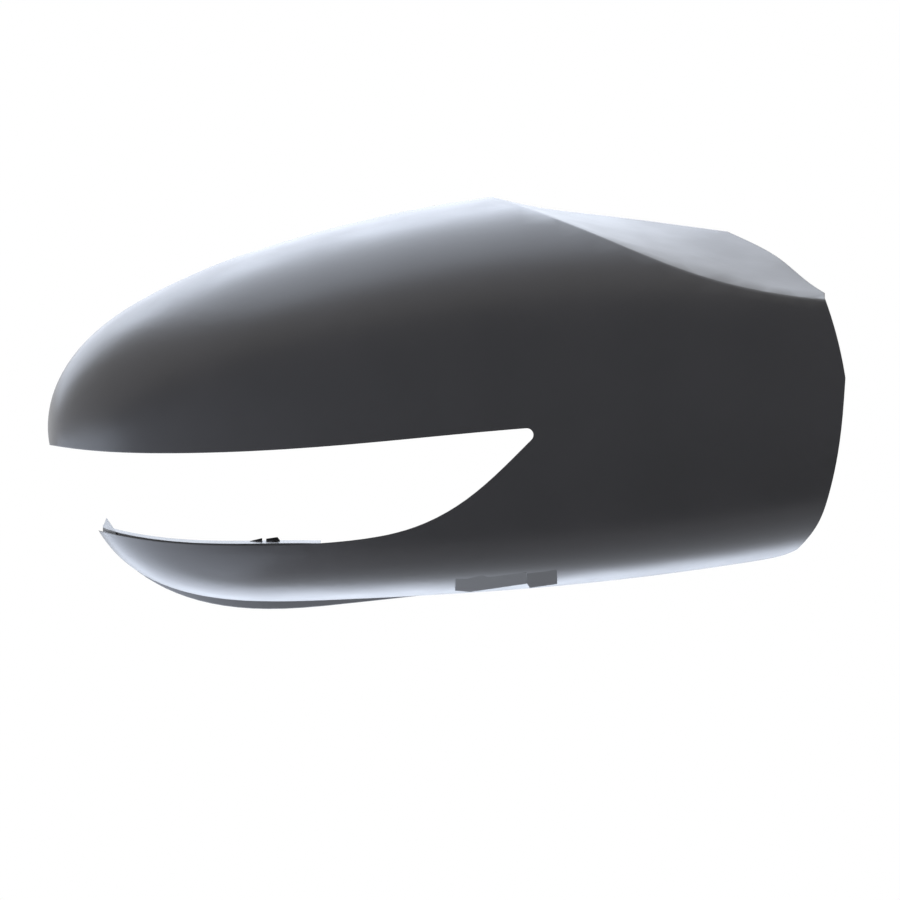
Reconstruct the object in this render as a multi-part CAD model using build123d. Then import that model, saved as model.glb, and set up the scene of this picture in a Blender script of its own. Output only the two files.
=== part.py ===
from build123d import *
import math
import os

# Wing mirror cover: the clip-on outer cap of a car door mirror, moulded in one piece.
# X runs inboard, Y rearwards and Z up, in millimetres. While it is modelled, X is measured from
# the outboard nose, Y from the rear rim and Z from the level where the nose reaches out furthest.
# At the end it is moved, so that X and Z are measured from the middle of the wall at the keel's datum.

# Skin
LENGTH = 239.4              # nose to the furthest point of the inboard edge
OVERRUN = 6.0               # raw skin left past the rim and the inboard end, before they are trimmed
DEPTH = 70.0                # rear rim to the flat of the front
DEPTH_REACH = 126.0         # length over which the front swells from the nose to its full depth
CROWN_NOSE = [(1.2, -7.5), (0, 0), (6.8, 20.4), (30.8, 39.9)]
CROWN_LINE = CROWN_NOSE + [(78.8, 58.2), (132.8, 69.3), (190, 72), (LENGTH + OVERRUN, 66)]
KEEL_DATUM = (150, -47.6)
KEEL_NOSE = [(11, -21), (14.8, -30), (25.4, -41.8), (48, -50.5), (64, -51.9)]
KEEL_LINE = KEEL_NOSE + [(85, -51.5), KEEL_DATUM, (LENGTH + OVERRUN, -34)]
TOP_FULLNESS = 2.2          # exponent of the upper half section: 2 is an ellipse, more is squarer
BOTTOM_FULLNESS = 3.8       # the same for the lower half section
NOSE_FULLNESS = 2.2         # the same for the swell of the front in plan
WALL = 2.4
NOSE_STRIPS = 6             # steps between sections round the nose
FLANK_STRIPS = 18           # straight strips along the flank
FLANK_START = 0.33          # where the flank begins, as a share of the crown and keel lines
SECTION_POINTS = 13         # points on each section

# Scoop in the inboard top, bounded by an S-shaped crease
SCOOP_END = LENGTH + 2 * OVERRUN
SCOOP_FRONT = [(100, 79.5), (132.8, 69.9), (165.8, 54.0), (196, 42.1), (221, 36.8), (SCOOP_END, 35.4)]
SCOOP_REAR = [(100, 79), (132.8, 69.5), (146, 66.9), (165.8, 65.4), (205, 61.8), (SCOOP_END, 55.8)]
CREASE_RADIUS = 2.0

# Inboard end: a plan curve at the rear and an outline in the front view, measured back from LENGTH
INBOARD_PLAN = [(44.4, 12), (35.4, 0), (22.6, -17.7), (10.6, -47.7), (2.4, -64), (-7.6, -80)]
INBOARD_TOP = (6.2, 39.0)
INBOARD_BULGE = (2.2, 26.0)
INBOARD_LOWER = [(0, 15), (1.1, 0.9), (5.0, -20.1), (8.2, -28.6), (12.2, -34.1), (25.4, -43.5)]

# Lamp slot, open at the nose
SLOT_TIP = (149.0, 0.3)     # sharp inboard corner, before it is rounded
SLOT_TURN = (10.2, 10.2)    # from the tip, back and down to where the lower edge has turned
SLOT_UPPER = [(-8, -3.2), (1.2, -5.2), (36, -7.6), (90, -5.0), SLOT_TIP]
SLOT_FLANK = [SLOT_TIP, (SLOT_TIP[0] - SLOT_TURN[0], SLOT_TIP[1] - SLOT_TURN[1])]
SLOT_BOTTOM = [(124, -22.6), (108.8, -30.2), (93.8, -33.4), (60, -35.1), (14.9, -30.6), (-8, -21)]
SLOT_CORNER = 2.0

# Ledge that carries the lamp, along the outboard part of the slot's lower edge
LEDGE_LINE = [(82, -34.6), (60, -34.7), (30.8, -33.2), (18, -30.3), (16.6, -29.8)]
LEDGE_DEPTH = 6.0
LEDGE_RISE = 0.9            # its rear edge above its front edge
LEDGE_THICK = 1.6
LEDGE_STEPS = 6             # steps along its line, to follow the skin

# Two-piece lamp catch that stands on the ledge, and a tongue that rises from the ledge's outboard end
CATCH_BACK = 5.2            # skin to its front face
CATCH_THICK = 2.0
CATCH_REAR = 16.0           # rim to the rear end of its prisms
WEDGE_OUTLINE = [(60.7, -36), (60.7, -33.9), (64.4, -33.0), (64.4, -36)]
BLOCK_OUTLINE = [(65.6, -36), (65.6, -33.2), (69.0, -32.7), (69.7, -33.6), (69.7, -36)]
TONGUE_ROOT = (20.6, -31.2)
TONGUE_APEX = (17.7, -26.9)
TONGUE_DEPTH = 8.0          # its apex behind the ledge's outboard end

# Lip that hangs from the rim under the blade
LIP_LINE = [(27, -43.0), (48, -52.4), (68, -54.3), (88, -52.9), (108, -50.7), (130, -48.6)]
LIP_THICK = 3.4
LIP_SLOPE = 2.4             # how much higher its front edge is than its rear edge

# Pad under the front, with a drain boss at its inboard end
PAD_LOWER = [(122.3, -48.8), (126.8, -49.2), (143.9, -46.7), (144.7, -48.0), (152.9, -46.8)]
PAD_TOP = -44.0             # level of the top of its sloping front
PAD_FRONT = 43.7            # rim to the top of its sloping front
PAD_HEIGHT = 6.0            # height of the sloping front
PAD_RUN = 5.5               # how far the front slopes back over that height
PAD_REAR = 32.0             # rim to its rear end

# Ribs inside
RIB_THICK = 1.6
RIB_HEIGHT = 4.0
RIM_RIB_BACK = 12.0         # rim to the rib that the housing's edge stops against
CROSS_RIB_X = (62, 104, 178)
CROSS_RIB_FRONT = 44.0      # rim to the front end of the cross ribs

# Snap hooks inside the crown and the keel
HOOK_WIDTH = 12.0
HOOK_THICK = 1.8
HOOK_STAND = 6.0            # skin to the finger
HOOK_ROOT_BACK = 30.0       # rim to the hook's root
HOOK_TIP_BACK = 4.0         # rim to the hook's tip
HOOK_BARB = 1.6
CROWN_HOOKS = (72, 116)     # distances along the crown line
KEEL_HOOKS = (100, 150, 190)

# Locating pegs on the inside of the front
PEG_DIAMETER = 6.0
PEG_ROOT_DIAMETER = 11.0
PEG_END_BACK = 34.0         # rim to the pegs' free ends
PEG_SHOULDER_BACK = 50.0    # rim to the shoulders at their roots
PEG_PLACES = [(166, 22), (202, 4)]

FAR = 400.0                 # reach of the trimming tools, well past the cover


def superellipse(angle, fullness):
    """Sine and cosine of an angle, squared off by the fullness."""
    sine, cosine = math.sin(angle), math.cos(angle)
    power = 2 / fullness
    return math.copysign(abs(sine) ** power, sine), abs(cosine) ** power


def front_swell(x):
    """Depth of the front at a distance from the nose, and how fast it grows there."""
    short = max(0.0, 1 - x / DEPTH_REACH)
    rest = 1 - short ** NOSE_FULLNESS
    depth = DEPTH * rest ** (1 / NOSE_FULLNESS)
    slope = depth / rest * short ** (NOSE_FULLNESS - 1) / DEPTH_REACH
    return depth, slope


def front_point(x, z, y=0.0):
    """A point of the front view, at a depth."""
    return Vector(x, y, z)


def front_curve(points, y=0.0):
    """A smooth line in the front view, at a depth."""
    return Spline(*[front_point(x, z, y) for x, z in points])


def through_cut(*edges):
    """A tool with the closed outline of a front view, through the whole depth."""
    return extrude(Face(Wire(edges)), amount=FAR / 2, dir=(0, 1, 0), both=True)


def forward_prism(outline, back):
    """A prism with straight sides in the front view, from a distance in front of the rim forwards."""
    corners = [front_point(x, z, -back) for x, z in outline]
    return extrude(Face(Wire(Polyline(*corners, close=True).edges())), amount=DEPTH, dir=(0, -1, 0))


def running_shares(points):
    """How far along a chain of points each one lies, as a share of the chain's length."""
    reached = [0.0]
    for before, after in zip(points, points[1:]):
        reached.append(reached[-1] + (after - before).length)
    return [length / reached[-1] for length in reached]


def section_points(along, inset):
    """Points round one section, from behind the crown line round the front to behind the keel line."""
    crown, keel = front_curve(CROWN_LINE), front_curve(KEEL_LINE)
    rearwards = Vector(0, 1, 0)
    depth, slope = front_swell(((crown @ along).X + (keel @ along).X) / 2)
    depth -= inset / math.hypot(1, slope)
    top = crown @ along + rearwards.cross(crown % along) * inset
    bottom = keel @ along + (keel % along).cross(rearwards) * inset
    middle, half = (top + bottom) / 2, (top - bottom) / 2
    past_rim = rearwards * (OVERRUN + inset)
    points = [top + past_rim]
    for step in range(SECTION_POINTS):
        angle = math.pi * (0.5 - step / (SECTION_POINTS - 1))
        up, out = superellipse(angle, TOP_FULLNESS if angle > 0 else BOTTOM_FULLNESS)
        points.append(middle + half * up - rearwards * (depth * out))
    return points + [bottom + past_rim]


def pod(inset=0.0):
    """The full form of the skin, or one that lies inside it, lofted through sections that fan from
    the nose to the inboard end. Round the nose it is smooth. The flank bends little, and is made
    of straight strips."""
    nose = [FLANK_START * strip / NOSE_STRIPS for strip in range(NOSE_STRIPS + 1)]
    flank = [FLANK_START + (1 - FLANK_START) * strip / FLANK_STRIPS for strip in range(FLANK_STRIPS + 1)]
    rows = [section_points(along, inset) for along in nose + flank]
    shares = [sum(column) / len(rows) for column in zip(*[running_shares(row) for row in rows])]
    wires = [Wire([Edge.make_spline(row, parameters=shares), Line(row[-1], row[0])]) for row in rows]
    return Solid.make_loft(wires[:len(nose)]) + Solid.make_loft(wires[len(nose):], ruled=True)


def above_scoop(drop=0.0):
    """Everything above the scoop's surface, which is ruled from its front line to its rear line."""
    profiles = []
    for points, y in ((SCOOP_FRONT, -DEPTH - OVERRUN), (SCOOP_REAR, 2 * OVERRUN)):
        line = front_curve([(x, z - drop) for x, z in points], y)
        start, end = line @ 0, line @ 1
        corners = [end, Vector(end.X, y, FAR), Vector(start.X, y, FAR), start]
        profiles.append(Wire([line] + Polyline(*corners).edges()))
    return Solid.make_loft(profiles, ruled=True)


def outer_form():
    """The outside of the cover: the pod, scooped to a rounded crease and trimmed at its inboard end."""
    tool = above_scoop()
    form = pod() - tool
    scoop_face = min(form.faces(), key=lambda face: tool.distance_to(face.center()))
    crease = scoop_face.edges().filter_by(lambda edge: (edge @ 0.5).Y < 0).sort_by(Axis.X)[:-1]
    form = fillet(crease, CREASE_RADIUS)
    for trim in inboard_trims():
        form -= trim
    return form


def inner_ribs():
    """The rib round the inside of the rim and the short cross ribs in front of it."""
    ribs = Pos(LENGTH / 2, -RIM_RIB_BACK, 0) * Box(FAR, RIB_THICK, FAR)
    cross_length = CROSS_RIB_FRONT - RIM_RIB_BACK
    for x in CROSS_RIB_X:
        ribs += Pos(x, -RIM_RIB_BACK - cross_length / 2, 0) * Box(RIB_THICK, cross_length, FAR)
    return ribs - pod(WALL + RIB_HEIGHT)


def snap_hook(place, inwards):
    """A finger that stands off the skin at a point of the rim's outline and points rearwards."""
    finger = HOOK_STAND + WALL
    outline = [
        (-HOOK_ROOT_BACK, 0),
        (-HOOK_ROOT_BACK, finger + HOOK_THICK),
        (-HOOK_TIP_BACK - 2 * HOOK_BARB, finger + HOOK_THICK),
        (-HOOK_TIP_BACK - 2 * HOOK_BARB, finger + HOOK_THICK + HOOK_BARB),
        (-HOOK_TIP_BACK, finger + HOOK_THICK),
        (-HOOK_TIP_BACK, finger),
        (-HOOK_ROOT_BACK + HOOK_THICK, finger),
        (-HOOK_ROOT_BACK + HOOK_THICK, 0),
    ]
    points = [(place.X, y, place.Z + inwards * z) for y, z in outline]
    side = Face(Wire(Polyline(*points, close=True).edges()))
    return extrude(side, amount=HOOK_WIDTH / 2, dir=(1, 0, 0), both=True)


def snap_hooks():
    """Hooks inside the crown and the keel."""
    crown, keel = front_curve(CROWN_LINE), front_curve(KEEL_LINE)
    hooks = []
    for line, distances, inwards in ((crown, CROWN_HOOKS, -1), (keel, KEEL_HOOKS, 1)):
        for distance in distances:
            place = line.position_at(distance, position_mode=PositionMode.LENGTH)
            hooks.append(snap_hook(place, inwards))
    return hooks


def locating_pegs():
    """Round pegs that stand rearwards from the inside of the front, each on a thicker root."""
    upright = (Align.CENTER, Align.CENTER, Align.MIN)
    peg = Cylinder(PEG_DIAMETER / 2, DEPTH - PEG_END_BACK, align=upright)
    root = Cylinder(PEG_ROOT_DIAMETER / 2, DEPTH - PEG_SHOULDER_BACK, align=upright)
    stepped = Rot(X=90) * (peg + Pos(0, 0, PEG_SHOULDER_BACK - PEG_END_BACK) * root)
    return [Pos(x, -PEG_END_BACK, z) * stepped for x, z in PEG_PLACES]


def hollow():
    """The space inside the wall, with the ribs, hooks and pegs left standing in it."""
    space = pod(WALL) - above_scoop(WALL)
    for piece in (inner_ribs(), *snap_hooks(), *locating_pegs()):
        space -= piece
    return space


def keel_lip():
    """The thin lip that hangs from the rim under the blade, and slopes up to the front."""
    profiles = []
    for rise, y in ((0.0, 0.0), (LIP_SLOPE, -LIP_THICK)):
        line = front_curve([(x, z + rise) for x, z in LIP_LINE], y)
        profiles.append(Wire([line, Line(line @ 1, line @ 0)]))
    return Solid.make_loft(profiles, ruled=True)


def drain_pad():
    """The pad under the front, with the drain boss at its inboard end. Its front slopes back."""
    bottom = PAD_TOP - PAD_HEIGHT
    slope = [(-PAD_FRONT, PAD_TOP), (PAD_RUN - PAD_FRONT, bottom)]
    side = Polyline(*[(0, y, z) for y, z in (*slope, (-PAD_REAR, bottom), (-PAD_REAR, PAD_TOP))], close=True)
    wedge = extrude(Face(Wire(side.edges())), amount=LENGTH, dir=(1, 0, 0))
    upper = [(PAD_LOWER[-1][0], PAD_TOP), (PAD_LOWER[0][0], PAD_TOP)]
    return wedge & forward_prism(PAD_LOWER + upper, PAD_REAR)


def lamp_slot():
    """Tool for the lamp slot, which is open at the nose."""
    upper, lower = front_curve(SLOT_UPPER), front_curve(SLOT_FLANK + SLOT_BOTTOM)
    slot = through_cut(upper, lower, Line(lower @ 1, upper @ 0))
    tip_edge = slot.edges().filter_by(Axis.Y).sort_by(Axis.X)[-1]
    return fillet(tip_edge, SLOT_CORNER)


def lamp_ledge():
    """A ledge that runs along the inside of the slot's lower edge and rises to the rear. At its
    outboard end a pointed tongue rises from it more steeply."""
    line, mid_wall = front_curve(LEDGE_LINE, -FAR), pod(WALL / 2)
    sights = [line @ (step / LEDGE_STEPS) for step in range(LEDGE_STEPS + 1)]
    sights.append(front_point(*TONGUE_ROOT, -FAR))
    hits = [mid_wall.find_intersection_points(Axis(sight, (0, 1, 0)))[0][0] for sight in sights]
    *front, end, root = hits
    top = Face.extrude(Spline(*front, end).edge(), (0, LEDGE_DEPTH, LEDGE_RISE))
    apex = front_point(*TONGUE_APEX, end.Y + TONGUE_DEPTH)
    tongue = Face(Wire(Polyline(root, apex, end, close=True).edges()))
    down = (0, 0, -LEDGE_THICK)
    return Solid.extrude(top, down) + Solid.extrude(tongue, down)


def lamp_catch():
    """The wedge and the block of the lamp catch, which follow the skin a little behind it."""
    front, back = pod(CATCH_BACK), pod(CATCH_BACK + CATCH_THICK)
    prisms = [forward_prism(outline, CATCH_REAR) for outline in (WEDGE_OUTLINE, BLOCK_OUTLINE)]
    return [(prism & front) - back for prism in prisms]


def inboard_trims():
    """Tools that trim the inboard end in plan and in the front view."""
    plan = Spline(*[(LENGTH - back, y, -FAR / 2) for back, y in INBOARD_PLAN])
    start, end = plan @ 0, plan @ 1
    corners = [end, Vector(FAR, end.Y, end.Z), Vector(FAR, start.Y, start.Z), start]
    plan_face = Face(Wire([plan] + Polyline(*corners).edges()))
    outline = [INBOARD_TOP, INBOARD_BULGE, *INBOARD_LOWER]
    high, bulge, *low = [front_point(LENGTH - back, z) for back, z in outline]
    upper, lower = ThreePointArc(high, bulge, low[0]), Spline(*low)
    below, above = Vector(low[-1].X, 0, -FAR), Vector(high.X, 0, FAR)
    corners = [low[-1], below, Vector(FAR, 0, -FAR), Vector(FAR, 0, FAR), above, high]
    front_trim = through_cut(upper, lower, *Polyline(*corners).edges())
    return extrude(plan_face, amount=FAR, dir=(0, 0, 1)), front_trim


def mirror_cover():
    """The whole moulding."""
    cover = outer_form() + drain_pad()
    cover -= Pos(LENGTH / 2, 0, 0) * Box(FAR, FAR, FAR, align=(Align.CENTER, Align.MIN, Align.CENTER))
    cover += keel_lip()
    cover -= hollow()
    cover -= lamp_slot()
    for piece in (lamp_ledge(), *lamp_catch()):
        cover += piece
    return Pos(-KEEL_DATUM[0], 0, -KEEL_DATUM[1] - WALL / 2) * cover


os.makedirs("parts", exist_ok=True)
export_step(mirror_cover(), "parts/mirror_cover.step")
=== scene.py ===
import math

import bpy
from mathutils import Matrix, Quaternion, Vector
from mathutils.bvhtree import BVHTree


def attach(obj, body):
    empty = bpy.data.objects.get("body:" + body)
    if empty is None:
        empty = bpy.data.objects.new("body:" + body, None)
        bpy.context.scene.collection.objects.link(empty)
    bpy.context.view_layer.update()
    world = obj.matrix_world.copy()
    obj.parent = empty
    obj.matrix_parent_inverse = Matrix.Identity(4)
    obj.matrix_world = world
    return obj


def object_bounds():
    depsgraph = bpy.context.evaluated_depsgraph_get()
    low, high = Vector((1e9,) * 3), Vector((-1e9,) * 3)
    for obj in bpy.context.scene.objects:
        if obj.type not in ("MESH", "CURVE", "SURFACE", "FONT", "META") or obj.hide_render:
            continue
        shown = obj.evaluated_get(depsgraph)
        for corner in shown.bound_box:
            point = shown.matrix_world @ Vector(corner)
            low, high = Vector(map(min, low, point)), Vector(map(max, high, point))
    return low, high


bl_info = {
    "name": "Wing mirror cover",
    "version": (1, 0, 0),
    "blender": (4, 5, 0),
    "location": "View3D > Sidebar > Mirror cover",
    "description": "Finishes the moulded cover of a car door mirror and sets it in a small studio",
    "category": "Object",
}

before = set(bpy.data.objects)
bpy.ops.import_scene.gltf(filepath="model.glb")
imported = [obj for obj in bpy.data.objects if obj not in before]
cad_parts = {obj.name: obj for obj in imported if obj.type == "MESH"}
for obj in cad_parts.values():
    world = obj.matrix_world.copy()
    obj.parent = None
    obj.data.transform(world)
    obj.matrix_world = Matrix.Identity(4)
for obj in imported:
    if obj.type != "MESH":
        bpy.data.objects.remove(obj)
CAD_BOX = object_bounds()
MM = 0.001
REARWARDS = Vector((0, 1, 0))

# The flats over the drain pad's front: each one's name, the place where its face would cross the
# frame's Y axis, how far it leans forwards for each unit of height, and its outline seen from the
# front, in millimetres.
PAD_FLATS = (
    ("drain_boss_flat", -42.5, 2.0,
     ((-6.1, 4.4), (-6.1, -0.27), (-5.3, -1.53), (2.84, -0.33), (2.84, 4.4))),
    ("drain_strip_flat", -42.12, 2.2,
     ((-27.6, 2.15), (-27.6, -2.33), (-23.2, -2.73), (-6.1, -0.23), (-6.1, 3.3), (-15.0, 2.9))),
)

# The light panels: each one's name, its middle and the point that it faces, both from the picture's
# middle, its width and height, all in metres, and its turn about its own axis in degrees.
PANELS = (
    ("top", (-0.15, 0.22, 0.5), (-0.15, 0, 0), (0.48, 0.64), 0),
    ("rear", (-0.27, 0.6, 0.36), (-0.27, 0, 0), (0.84, 0.5), 0),
    ("side", (-0.4, 0.05, -0.08), (0, 0, 0), (0.4, 0.18), 0),
    ("low", (-0.1, 0.25, -0.133), (-0.1, 0.25, 0), (0.8, 0.4), -21),
    ("blade", (-0.18, -0.07, -0.133), (-0.18, -0.07, 0), (0.2, 0.15), 0),
)

CLOUD_SPAN = (0.3, 0.7)         # the part of the cloud noise over which the roughness changes
JOIN_DISTANCE = 0.002 * MM      # corners of the skin's strips this close are joined for shading
FLOOR_REACH = 4.0
FLOOR_ROUGHNESS = 0.9
CARD_ROUGHNESS = 0.95
CAMERA_DISTANCE = 1.2           # camera in front of the rim


def linear(hex_colour):
    """An sRGB hex value as linear red, green and blue."""
    parts = [int(hex_colour[i:i + 2], 16) / 255 for i in (1, 3, 5)]
    return [c / 12.92 if c <= 0.04045 else ((c + 0.055) / 1.055) ** 2.4 for c in parts]


def add_node(tree, kind, links=None, **settings):
    """Adds a node, sets its properties or input values, and links its inputs."""
    node = tree.nodes.new(kind)
    for name, value in settings.items():
        if hasattr(node, name):
            setattr(node, name, value)
        else:
            node.inputs[name.replace("_", " ")].default_value = value
    for name, source in (links or {}).items():
        tree.links.new(source, node.inputs[name])
    return node


class CoverFinish(bpy.types.PropertyGroup):
    """The look of the moulded shell."""

    primer_colour: bpy.props.FloatVectorProperty(
        name="Primer colour", description="Colour of the dark grey primer",
        subtype="COLOR", size=3, min=0, max=1, default=linear("#343234"))
    thin_colour: bpy.props.FloatVectorProperty(
        name="Thin primer colour", description="Colour where the primer lies thinner",
        subtype="COLOR", size=3, min=0, max=1, default=linear("#2C2B2C"))
    roughness_low: bpy.props.FloatProperty(
        name="Smoothest", description="Roughness where the primer levelled best",
        subtype="FACTOR", min=0, max=1, default=0.32)
    roughness_high: bpy.props.FloatProperty(
        name="Roughest", description="Roughness where the primer went on dry",
        subtype="FACTOR", min=0, max=1, default=0.38)
    grain: bpy.props.FloatProperty(
        name="Grain", description="Size of the primer's grain", unit="LENGTH", default=0.45 * MM)
    peel: bpy.props.FloatProperty(
        name="Orange peel", description="Size of the soft waves in the primer",
        unit="LENGTH", default=2.6 * MM)
    cloud: bpy.props.FloatProperty(
        name="Clouds", description="Size of the patches where the primer is thinner",
        unit="LENGTH", default=24 * MM)
    edge_rounding: bpy.props.FloatProperty(
        name="Edge rounding", description="Radius of the moulded edges",
        unit="LENGTH", default=0.5 * MM)
    smooth_angle: bpy.props.FloatProperty(
        name="Smooth angle", description="Edges that bend less than this are shaded as one surface",
        subtype="ANGLE", default=math.radians(24))


class CoverPad(bpy.types.PropertyGroup):
    """The flats that let the drain pad run out of the skin."""

    sweep: bpy.props.FloatProperty(
        name="Sweep", description="How far the flats go back for each unit inboard", default=0.155)
    sink: bpy.props.FloatProperty(
        name="Sink", description="How far the flats' backs go into the cover's wall",
        unit="LENGTH", default=1 * MM)


class CoverStage(bpy.types.PropertyGroup):
    """The small studio round the cover."""

    picture_width: bpy.props.FloatProperty(
        name="Picture width", description="Width that the camera takes in",
        unit="LENGTH", default=270 * MM)
    picture_middle: bpy.props.FloatVectorProperty(
        name="Picture middle", description="Point at the middle of the picture",
        subtype="XYZ", unit="LENGTH", default=(-29.25 * MM, 0, 39.8 * MM))
    floor_drop: bpy.props.FloatProperty(
        name="Floor drop", description="Floor below the cover's lowest point",
        unit="LENGTH", default=90 * MM)
    floor_colour: bpy.props.FloatVectorProperty(
        name="Floor colour", description="Colour of the pale floor",
        subtype="COLOR", size=3, min=0, max=1, default=linear("#F4F4F4"))
    room_level: bpy.props.FloatProperty(
        name="Room level", description="Light that the white room gives to the cover",
        min=0, default=0.6)
    card_colour: bpy.props.FloatVectorProperty(
        name="Card colour", description="Colour of the card on the camera's side",
        subtype="COLOR", size=3, min=0, max=1, default=linear("#A0A0A0"))
    card_distance: bpy.props.FloatProperty(
        name="Card distance", description="Top of the card in front of the rim",
        unit="LENGTH", default=500 * MM)
    card_foot: bpy.props.FloatProperty(
        name="Card foot", description="Bottom of the card in front of the rim",
        unit="LENGTH", default=100 * MM)
    card_side: bpy.props.FloatProperty(
        name="Card side", description="Card's reach to each side",
        unit="LENGTH", default=900 * MM)
    card_rise: bpy.props.FloatProperty(
        name="Card rise", description="Card's reach upwards", unit="LENGTH", default=680 * MM)
    card_drop: bpy.props.FloatProperty(
        name="Card drop", description="Card's reach downwards", unit="LENGTH", default=130 * MM)
    panel_colour: bpy.props.FloatVectorProperty(
        name="Panel colour", description="Cool white of the light panels",
        subtype="COLOR", size=3, min=0, max=1, default=linear("#E2EDFF"))
    top_level: bpy.props.FloatProperty(
        name="Top level", description="Brightness of the panel overhead", min=0, default=2.6)
    rear_level: bpy.props.FloatProperty(
        name="Rear level", description="Brightness of the panel behind", min=0, default=2.3)
    side_level: bpy.props.FloatProperty(
        name="Side level", description="Brightness of the panel at the outboard side",
        min=0, default=3.0)
    low_level: bpy.props.FloatProperty(
        name="Low level", description="Brightness of the panel that lies low behind the cover",
        min=0, default=2.15)
    blade_level: bpy.props.FloatProperty(
        name="Blade level", description="Brightness of the panel that lies low below the blade",
        min=0, default=1.6)


def primed_abs(finish):
    """Injection-moulded ABS, sprayed with dark grey primer that is ready for the body colour. To the
    eye it is a deep neutral grey with a broad satin sheen, a fine dry grain, slight waves and faint
    clouds."""
    material = bpy.data.materials.new("Primed injection-moulded ABS")
    material.use_nodes = True
    tree = material.node_tree
    tree.nodes.clear()
    place = add_node(tree, "ShaderNodeTexCoord").outputs["Object"]
    cloud, grain, peel = [
        add_node(tree, "ShaderNodeTexNoise", {"Vector": place}, Scale=1 / size, Detail=detail)
        for size, detail in ((finish.cloud, 3.0), (finish.grain, 2.0), (finish.peel, 1.0))]
    colour = add_node(tree, "ShaderNodeMix", {0: cloud.outputs["Fac"]}, data_type="RGBA")
    colour.inputs[6].default_value = (*finish.thin_colour, 1)
    colour.inputs[7].default_value = (*finish.primer_colour, 1)
    roughness = add_node(tree, "ShaderNodeMapRange", {"Value": cloud.outputs["Fac"]})
    for name, value in zip(("From Min", "From Max", "To Min", "To Max"),
                           (*CLOUD_SPAN, finish.roughness_low, finish.roughness_high)):
        roughness.inputs[name].default_value = value
    edge = add_node(tree, "ShaderNodeBevel", samples=6, Radius=finish.edge_rounding)
    waves = add_node(tree, "ShaderNodeBump", {
        "Height": peel.outputs["Fac"], "Normal": edge.outputs["Normal"]},
        Strength=0.05, Distance=0.2 * MM)
    dry = add_node(tree, "ShaderNodeBump", {
        "Height": grain.outputs["Fac"], "Normal": waves.outputs["Normal"]},
        Strength=0.12, Distance=0.05 * MM)
    shader = add_node(tree, "ShaderNodeBsdfPrincipled", {
        "Base Color": colour.outputs[2], "Roughness": roughness.outputs["Result"],
        "Normal": dry.outputs["Normal"]}, IOR=1.52)
    add_node(tree, "ShaderNodeOutputMaterial", {"Surface": shader.outputs["BSDF"]})
    return material


def smooth_skin(cover, angle):
    """Joins the skin's strips for shading: edges that bend little are shaded as one surface."""
    tree = bpy.data.node_groups.new("Smooth skin", "GeometryNodeTree")
    tree.interface.new_socket("Geometry", in_out="INPUT", socket_type="NodeSocketGeometry")
    tree.interface.new_socket("Geometry", in_out="OUTPUT", socket_type="NodeSocketGeometry")
    source = add_node(tree, "NodeGroupInput").outputs["Geometry"]
    plain = add_node(tree, "GeometryNodeRemoveAttribute", {"Geometry": source},
                     Name="custom_normal")
    joined = add_node(tree, "GeometryNodeMergeByDistance", {"Geometry": plain.outputs["Geometry"]},
                      Distance=JOIN_DISTANCE)
    faces = add_node(tree, "GeometryNodeSetShadeSmooth", {"Geometry": joined.outputs["Geometry"]},
                     domain="FACE")
    bend = add_node(tree, "GeometryNodeInputMeshEdgeAngle").outputs["Unsigned Angle"]
    gentle = add_node(tree, "FunctionNodeCompare", {"A": bend}, operation="LESS_THAN")
    gentle.inputs["B"].default_value = angle
    edges = add_node(tree, "GeometryNodeSetShadeSmooth", {
        "Geometry": faces.outputs["Geometry"], "Shade Smooth": gentle.outputs["Result"]},
        domain="EDGE")
    add_node(tree, "NodeGroupOutput", {"Geometry": edges.outputs["Geometry"]})
    cover.modifiers.new("Smooth skin", "NODES").node_group = tree


def panel_light(name, place, target, size, level, colour, turn):
    """A flat light that faces a point, turned about its axis, with the same brightness all over."""
    light = bpy.data.lights.new(name, "AREA")
    light.shape, light.size, light.size_y = "RECTANGLE", *size
    light.energy = level * math.pi * size[0] * size[1]
    light.color = colour
    lamp = bpy.data.objects.new(name, light)
    lamp.location = place
    facing = (target - place).to_track_quat("-Z", "Y")
    lamp.rotation_euler = (facing @ Quaternion((0, 0, 1), turn)).to_euler()
    bpy.context.scene.collection.objects.link(lamp)


def plane(name, corners, material):
    """A flat piece of the stage, from its four corners."""
    mesh = bpy.data.meshes.new(name)
    mesh.from_pydata(corners, [], [(0, 1, 2, 3)])
    mesh.materials.append(material)
    piece = bpy.data.objects.new(name, mesh)
    bpy.context.scene.collection.objects.link(piece)
    return piece


def stage_material(name, colour, roughness):
    """A plain material for a piece of the stage."""
    material = bpy.data.materials.new(name)
    material.use_nodes = True
    shader = material.node_tree.nodes["Principled BSDF"]
    shader.inputs["Base Color"].default_value = (*colour, 1)
    shader.inputs["Roughness"].default_value = roughness
    return material


class MIRRORCOVER_OT_finish_shell(bpy.types.Operator):
    """Gives the moulded shell its primed finish and smooth shading"""

    bl_idname = "mirrorcover.finish_shell"
    bl_label = "Finish the shell"

    def execute(self, context):
        finish = context.scene.cover_finish
        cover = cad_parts["mirror_cover"]
        material = primed_abs(finish)
        for slot in cover.material_slots:
            slot.link = "OBJECT"
            slot.material = material
        smooth_skin(cover, finish.smooth_angle)
        return {"FINISHED"}


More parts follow.
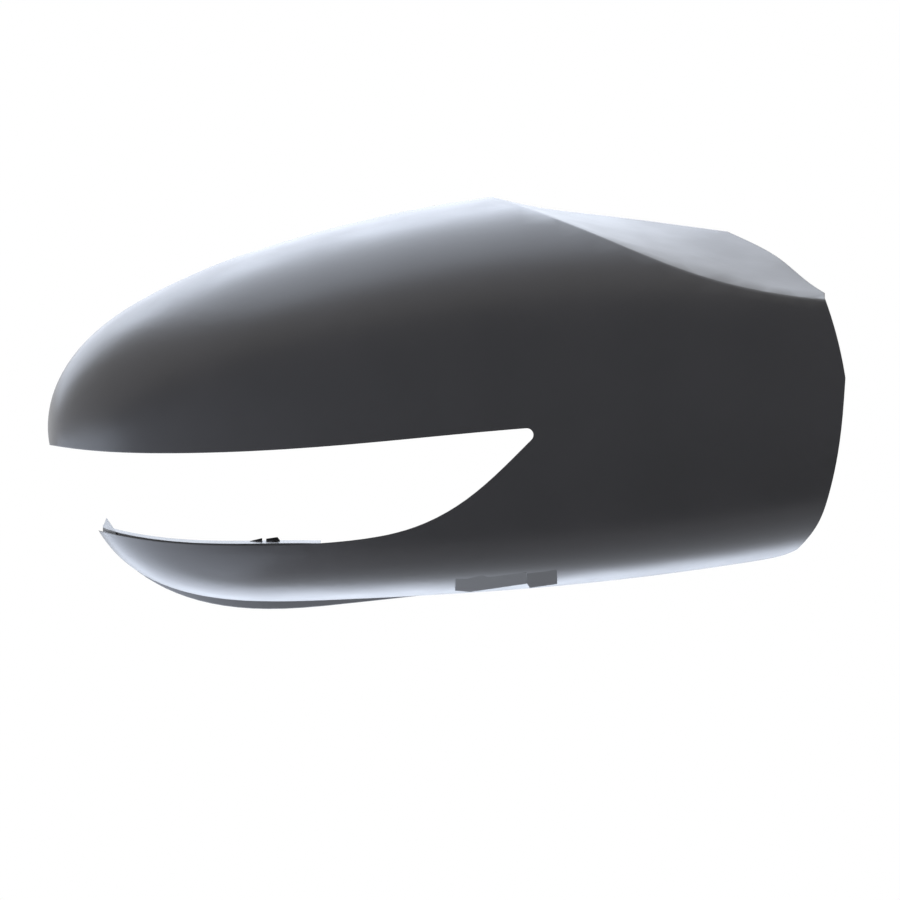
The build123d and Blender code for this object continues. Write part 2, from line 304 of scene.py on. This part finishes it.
class MIRRORCOVER_OT_face_pad(bpy.types.Operator):
    """Lays moulded flats over the front of the drain pad, so that it runs out of the skin"""

    bl_idname = "mirrorcover.face_pad"
    bl_label = "Face the drain pad"

    def execute(self, context):
        pad = context.scene.cover_pad
        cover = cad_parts["mirror_cover"]
        material = cover.material_slots[0].material
        wall = BVHTree.FromObject(cover, context.evaluated_depsgraph_get())
        for name, datum, lean, outline in PAD_FLATS:
            front = [Vector((x, datum + pad.sweep * x - lean * z, z)) * MM for x, z in outline]
            back = [self.wall_behind(wall, corner) + pad.sink * REARWARDS for corner in front]
            mesh = bpy.data.meshes.new(name)
            mesh.from_pydata(front + back, [], self.prism_faces(len(outline)))
            mesh.materials.append(material)
            flat = bpy.data.objects.new(name, mesh)
            context.scene.collection.objects.link(flat)
            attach(flat, "root")
        return {"FINISHED"}

    def wall_behind(self, wall, corner):
        """The point of the cover's outside that a viewer in front sees at a corner's place."""
        eye = Vector((corner.x, 2 * CAD_BOX[0].y, corner.z))
        place, _, _, _ = wall.ray_cast(eye, REARWARDS)
        return place

    def prism_faces(self, count):
        """The front, the back and the sides of a prism with that many corners on its outline."""
        faces = [range(count), range(2 * count - 1, count - 1, -1)]
        for here in range(count):
            after = (here + 1) % count
            faces.append((here, count + here, count + after, after))
        return faces


class MIRRORCOVER_OT_set_stage(bpy.types.Operator):
    """Sets the floor, the lights, the white room and the camera"""

    bl_idname = "mirrorcover.set_stage"
    bl_label = "Set the stage"

    def execute(self, context):
        stage, scene = context.scene.cover_stage, context.scene
        for name in ("Cube", "Light", "Camera"):
            if name in bpy.data.objects:
                bpy.data.objects.remove(bpy.data.objects[name])
        self.make_floor(stage)
        self.make_card(stage)
        self.make_lights(stage)
        self.make_room(scene, stage)
        self.make_camera(scene, stage)
        scene.view_settings.view_transform = "Standard"
        return {"FINISHED"}

    def make_floor(self, stage):
        """A wide pale floor below the cover, painted matt white."""
        level, reach = CAD_BOX[0].z - stage.floor_drop, FLOOR_REACH
        corners = [(-reach, -reach, level), (reach, -reach, level),
                   (reach, reach, level), (-reach, reach, level)]
        plane("floor", corners, stage_material("Matt white paint", stage.floor_colour, FLOOR_ROUGHNESS))

    def make_card(self, stage):
        """A grey card on the camera's side that keeps the front's reflections dim. The camera doesn't
        see it."""
        x, _, z = stage.picture_middle
        left, right = x - stage.card_side, x + stage.card_side
        foot = (-stage.card_foot, z - stage.card_drop)
        head = (-stage.card_distance, z + stage.card_rise)
        corners = [(left, *foot), (right, *foot), (right, *head), (left, *head)]
        card = plane("card", corners, stage_material("Grey card", stage.card_colour, CARD_ROUGHNESS))
        card.visible_camera = card.visible_diffuse = card.visible_shadow = False

    def make_lights(self, stage):
        """Panels overhead, behind, at the outboard side, and low behind the cover and below its
        blade."""
        middle = Vector(stage.picture_middle)
        for name, place, target, size, turn in PANELS:
            panel_light(f"{name} panel", middle + Vector(place), middle + Vector(target), size,
                        getattr(stage, f"{name}_level"), stage.panel_colour, math.radians(turn))

    def make_room(self, scene, stage):
        """A room that the camera, reflections and clear pieces see as plain white, and that lights the
        cover softly."""
        world = bpy.data.worlds.new("white room")
        world.use_nodes = True
        tree = world.node_tree
        tree.nodes.clear()
        path = add_node(tree, "ShaderNodeLightPath").outputs
        seen = path["Is Camera Ray"]
        for ray in ("Is Glossy Ray", "Is Transmission Ray"):
            either = add_node(tree, "ShaderNodeMath", {0: seen, 1: path[ray]}, operation="MAXIMUM")
            seen = either.outputs[0]
        level = add_node(tree, "ShaderNodeMapRange", {"Value": seen})
        level.inputs["To Min"].default_value = stage.room_level
        room = add_node(tree, "ShaderNodeBackground", {"Strength": level.outputs["Result"]},
                        Color=(1, 1, 1, 1))
        add_node(tree, "ShaderNodeOutputWorld", {"Surface": room.outputs[0]})
        scene.world = world

    def make_camera(self, scene, stage):
        """A level camera that looks rearwards, without perspective, as a long lens from far away."""
        lens = bpy.data.cameras.new("camera")
        lens.type = "ORTHO"
        lens.ortho_scale = stage.picture_width
        camera = bpy.data.objects.new("camera", lens)
        camera.location = Vector(stage.picture_middle) - CAMERA_DISTANCE * REARWARDS
        camera.rotation_euler = (math.radians(90), 0, 0)
        scene.collection.objects.link(camera)
        scene.camera = camera


class MIRRORCOVER_PT_panel(bpy.types.Panel):
    """Lists the finish, the pad, the stage and their operators"""

    bl_idname = "MIRRORCOVER_PT_panel"
    bl_label = "Mirror cover"
    bl_space_type = "VIEW_3D"
    bl_region_type = "UI"
    bl_category = "Mirror cover"

    def draw(self, context):
        for group, operator in ((context.scene.cover_finish, MIRRORCOVER_OT_finish_shell),
                                (context.scene.cover_pad, MIRRORCOVER_OT_face_pad),
                                (context.scene.cover_stage, MIRRORCOVER_OT_set_stage)):
            column = self.layout.column()
            for name in group.__annotations__:
                column.prop(group, name)
            column.operator(operator.bl_idname)


CLASSES = (CoverFinish, CoverPad, CoverStage, MIRRORCOVER_OT_finish_shell, MIRRORCOVER_OT_face_pad,
           MIRRORCOVER_OT_set_stage, MIRRORCOVER_PT_panel)


def register():
    for cls in CLASSES:
        bpy.utils.register_class(cls)
    bpy.types.Scene.cover_finish = bpy.props.PointerProperty(type=CoverFinish)
    bpy.types.Scene.cover_pad = bpy.props.PointerProperty(type=CoverPad)
    bpy.types.Scene.cover_stage = bpy.props.PointerProperty(type=CoverStage)


def unregister():
    del bpy.types.Scene.cover_stage
    del bpy.types.Scene.cover_pad
    del bpy.types.Scene.cover_finish
    for cls in reversed(CLASSES):
        bpy.utils.unregister_class(cls)


def main():
    """Makes the whole scene."""
    register()
    bpy.ops.mirrorcover.finish_shell()
    bpy.ops.mirrorcover.face_pad()
    bpy.ops.mirrorcover.set_stage()


if __name__ == "__main__":
    main()
